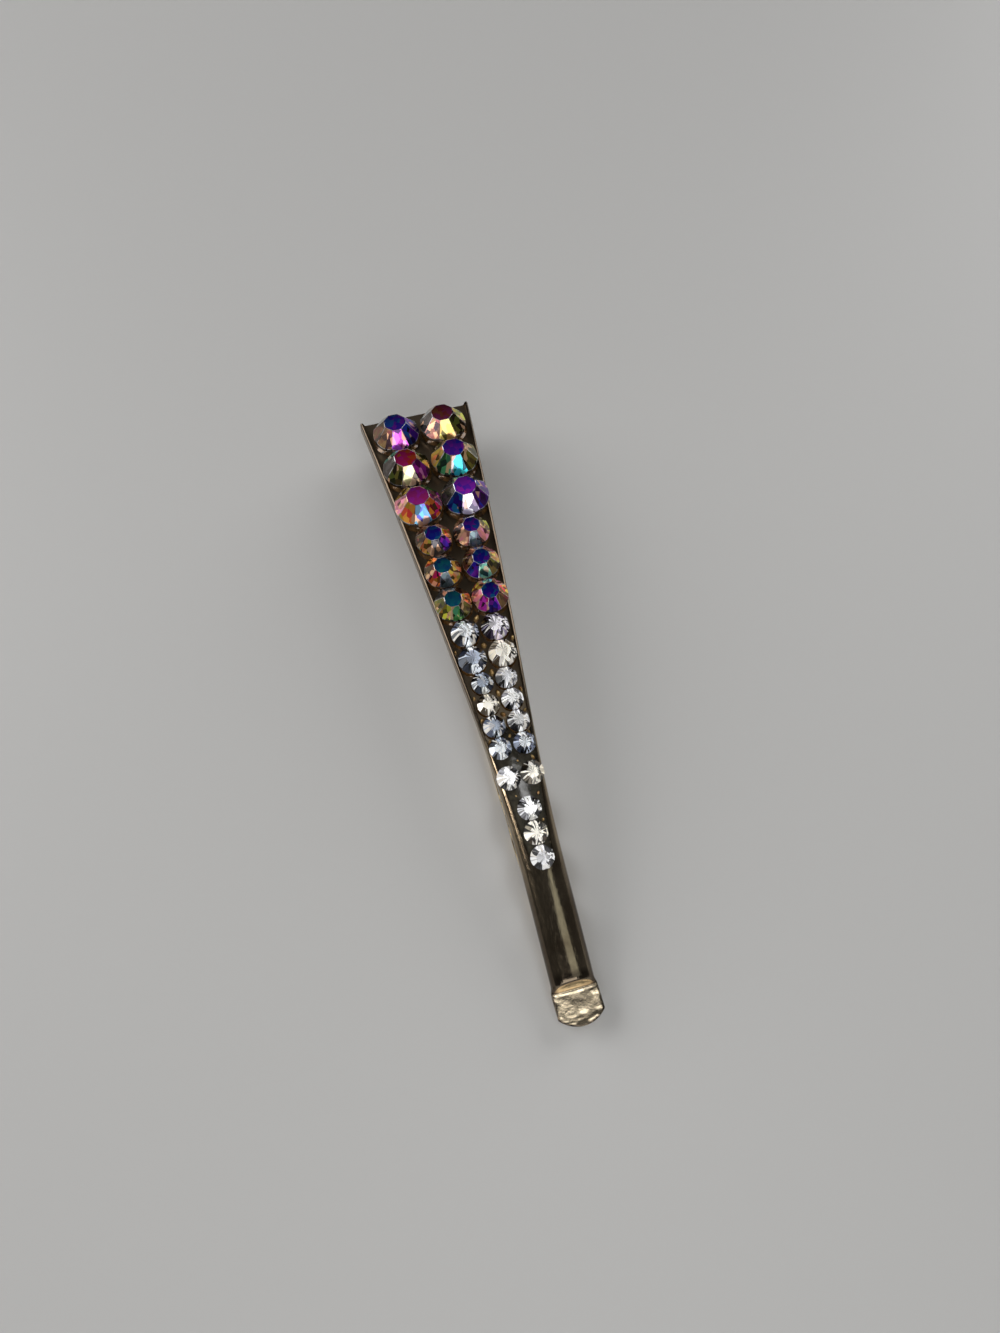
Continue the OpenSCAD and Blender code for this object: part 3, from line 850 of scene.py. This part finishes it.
# %% [markdown]
# Each puddle is a copy, a little uneven, that is laid on the tray's floor as its stone lies on
# the arch. The tray narrows towards the tip, and adhesive can't pass its rims, so each point
# that would lie past a rim is moved in to it.

# %% The tray's width
half_strip, rim_t, taper_at = 2.125 * MM, 0.3 * MM, 22.8 * MM
taper_slope = (clip_box[1].x - half_strip) / (wide_y - tip_y - taper_at)


def tray_half(y):
    """Half the tray's width between its rims at a place y."""
    return half_strip - rim_t + (y - tip_y - taper_at) * taper_slope


print("half the tray, middle and wide end", round(tray_half(0), 5), round(tray_half(wide_y), 5))

# %% Helpers for drops
floor_r = arch_r - tray_depth


def lay(master, name, at_x, lean, reach, turn=0.0):
    """Lays a copy of a drop on the tray's floor and keeps it between the rims."""
    alone(master)
    bpy.ops.object.duplicate()
    drop = bpy.context.object
    drop.name = drop.data.name = name
    drop.rotation_euler = (-lean, 0, turn)
    drop.scale = reach
    drop.location = (at_x, arch_y + floor_r * math.sin(lean), arch_z + floor_r * math.cos(lean))
    bpy.ops.object.transform_apply(location=True, rotation=True, scale=True)
    for point in drop.data.vertices:
        room = max(0.3 * MM, tray_half(point.co.y) - 0.02 * MM)
        point.co.x = max(-room, min(room, point.co.x))
    return drop


def joined(parts, name):
    """Joins drops to one piece."""
    bpy.ops.object.select_all(action="DESELECT")
    for part in parts:
        part.select_set(True)
    bpy.context.view_layer.objects.active = parts[0]
    bpy.ops.object.join()
    parts[0].name = parts[0].data.name = name
    return parts[0]


print("helpers: lay, joined, on a radius of", round(floor_r, 4))

# %% Lay the puddles
rows_of = {"glue_large": (1, 2, 3), "glue_medium": (4, 5, 6), "glue_small": (7, 8),
           "glue_tiny": (9, 10, 11, 12), "glue_last": (13,)}
stones_of = {pads: [f"{'ab' if row < 7 else 'clear'}_stone_{side}{row}" for row in rows
                    for side in "lr"] for pads, rows in rows_of.items()}
stones_of["glue_single"] = ["clear_stone_s1", "clear_stone_s2", "clear_stone_s3"]
for pads, stones in stones_of.items():
    drops = []
    for stone in stones:
        at_x, lean, size = seats[stone]
        reach = (size / 2 * luck.uniform(0.97, 1.06), size / 2 * luck.uniform(0.97, 1.06), 1)
        drops.append(lay(puddle, stone + "_drop", at_x, lean, reach))
    finish_piece(joined(drops, pads.replace("glue", "puddles")), "upper", amber,
                 pads, smooth=50)
bpy.data.objects.remove(puddle)
print("puddles", len(seats))

# %% [markdown]
# Towards the tip the tray is narrow, and there the adhesive fills it from rim to rim. Its surface
# is drawn up along the middle by the stones, which is why one soft streak of light runs down it
# and on down the strip. A flat sheet would show a broad glare instead. So a grid is laid in the
# tray, pulled to the tray's outline and domed. It thins out in a wavy line under the tiny
# stones, and its border is extruded down into the floor.

# %% The pool in the narrow end
end_from_tip, pool_end, end_wave = 15.4 * MM, 27.5 * MM, 0.9 * MM
lip_h, film_h, dome_h, ripple_h = 0.08, 0.12, 0.34, 0.006
end_r = tray_half(tip_y + end_from_tip)
pool_start = end_from_tip - 0.95 * end_r
bpy.ops.object.select_all(action="DESELECT")
bpy.ops.mesh.primitive_grid_add(x_subdivisions=14, y_subdivisions=70, size=1)
pool = bpy.context.object
pool.name = pool.data.name = "adhesive_pool"
waves = random.Random(3)
for point in pool.data.vertices:
    across, along = 2 * point.co.x, point.co.y + 0.5
    far_end = pool_end + end_wave * math.cos(4.2 * across + 0.7)
    from_tip = pool_start + along * (far_end - pool_start)
    y = tip_y + from_tip
    behind = min(0, from_tip - end_from_tip)
    half = tray_half(y) if behind == 0 else math.sqrt(max(0, end_r ** 2 - behind ** 2))
    fade = min(1, (far_end - from_tip) / (3 * MM))
    dome = (lip_h + film_h * min(1, 3 * fade) + dome_h * (1 - across ** 2) * fade
            + waves.uniform(-ripple_h, ripple_h)) * MM
    point.co = (across * (half - 0.01 * MM), y,
                arch_z + math.sqrt((floor_r + dome) ** 2 - (y - arch_y) ** 2))
alone(pool)
bpy.ops.object.mode_set(mode="EDIT")
bpy.ops.mesh.select_all(action="SELECT")
bpy.ops.mesh.region_to_loop()
bpy.ops.mesh.extrude_edges_move(TRANSFORM_OT_translate={"value": (0, 0, -0.3 * MM)})
bpy.ops.object.mode_set(mode="OBJECT")
finish_piece(pool, "upper", smoky, smooth=60)

# %% [markdown]
# The beads are drops that were squeezed up between the stones. Each could be shaped by hand, but
# a rounded drop is little more than a ball with its lower half pressed flat. So one ball is
# pressed flat below, and each copy is stretched, turned and laid on the tray's floor.

# %% One bead
bpy.ops.object.select_all(action="DESELECT")
bpy.ops.mesh.primitive_uv_sphere_add(segments=20, ring_count=12, radius=1)
bead = bpy.context.object
for point in bead.data.vertices:
    if point.co.z < 0:
        point.co.z *= 0.3
print("bead faces", len(bead.data.polygons))

# %% Lay the beads
# Each bead's place across the clip, its distance from the tip and its radius, in millimetres.
beads_at = ((0.05, 39.6, 0.26), (0.0, 36.65, 0.28), (0.05, 33.8, 0.26), (0.1, 31.6, 0.24),
            (0.0, 29.4, 0.22), (0.05, 27.2, 0.20), (0.1, 24.7, 0.20), (2.95, 36.7, 0.20),
            (2.35, 31.5, 0.18), (2.15, 29.3, 0.17), (1.95, 27.1, 0.17), (1.65, 24.7, 0.18),
            (-2.9, 36.6, 0.17), (-2.3, 31.6, 0.17), (-2.15, 29.3, 0.16), (-1.95, 27.1, 0.17),
            (1.25, 21.3, 0.20), (-0.9, 21.5, 0.15), (1.05, 18.8, 0.18))
bead_h = 0.62 * MM
drops = []
for k, (x, from_tip, r) in enumerate(beads_at):
    lean = math.asin((tip_y + from_tip * MM - arch_y) / floor_r)
    reach = (r * MM, r * MM * luck.uniform(1.1, 1.8), bead_h * luck.uniform(0.7, 1.0))
    drops.append(lay(bead, f"bead_{k}", x * MM, lean, reach, luck.uniform(-0.9, 0.9)))
# The beads' bright gold is a painted glint.
finish_piece(joined(drops, "adhesive_beads"), "upper", painted_glint_gold, smooth=60)
bpy.data.objects.remove(bead)
print("beads", len(beads_at))
